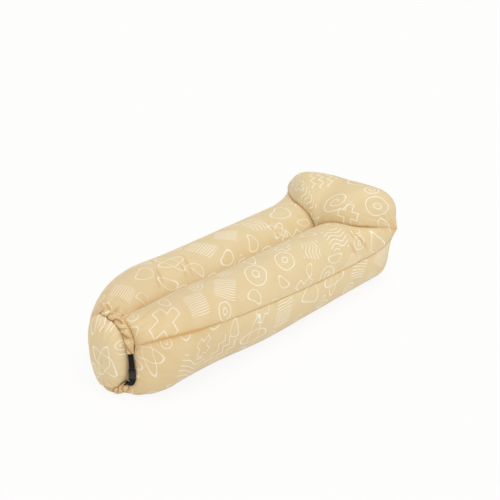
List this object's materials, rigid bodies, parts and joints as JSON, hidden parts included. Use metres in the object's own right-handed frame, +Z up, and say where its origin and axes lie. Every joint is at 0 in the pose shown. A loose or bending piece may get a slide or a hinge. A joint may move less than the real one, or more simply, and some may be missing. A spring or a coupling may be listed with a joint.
{
  "type": "inflatable air lounger",
  "caption": "Inflatable air lounger: lengthwise tubes with a valley between them, a headrest pillow, and a rolled mouth clipped into a ring by a side-release buckle.",
  "frame": {"origin": "on the floor, under the middle of the bounding box", "axes": "+X along the lounger from the rolled mouth at the foot end to the headrest, +Z up, the buckle on the -Y side"},
  "size_m": [1.98, 0.7876, 0.5246],
  "materials": {
    "cloth": "satin",
    "rolled_cloth": "satin",
    "inner_cloth": "matte",
    "tape": "satin",
    "stiffener": "satin",
    "webbing": "matte",
    "buckle": "satin"
  },
  "bodies": {
    "lounger": {"base_panel": "cloth", "side_panel_left": "cloth", "side_panel_right": "cloth", "tube_top_left": "cloth", "tube_top_right": "cloth", "headrest_panel": "cloth", "rear_panel": "cloth", "mouth_dome": "cloth", "mouth_roll": "rolled_cloth", "mouth_strip_outer": "stiffener", "mouth_strip_inner": "stiffener", "centre_baffle": "inner_cloth", "side_seam_tape_left": "tape", "floor_seam_tape_left": "tape", "rear_seam_tape_left": "tape", "crease_tape_left": "tape", "side_seam_tape_right": "tape", "floor_seam_tape_right": "tape", "rear_seam_tape_right": "tape", "crease_tape_right": "tape", "headrest_seam_tape": "tape", "rear_floor_seam_tape": "tape", "buckle_socket": "buckle", "webbing_lower": "webbing"},
    "plug": {"buckle_plug": "buckle", "webbing_upper": "webbing"},
    "prong_left": {"latch_prong_left": "buckle"},
    "prong_right": {"latch_prong_right": "buckle"}
  },
  "joints": [
    {"name": "plug_slide", "type": "slide", "parent": "lounger", "child": "plug", "axis": [0, 0, 1], "range_m": [0, 0.032], "deforming": ["webbing_upper", "latch_prong_left", "latch_prong_right"]},
    {"name": "squeeze_left", "type": "hinge", "parent": "plug", "child": "prong_left", "pos_m": [-0.92418, -0.18714, 0.1491], "axis": [-0.8829, -0.4695, 0], "range_deg": [0, 9.5], "stiffness_Nm_per_rad": 1},
    {"name": "squeeze_right", "type": "hinge", "parent": "plug", "child": "prong_right", "pos_m": [-0.91582, -0.20286, 0.1491], "axis": [0.8829, 0.4695, 0], "range_deg": [0, 9.5], "stiffness_Nm_per_rad": 1}
  ]
}
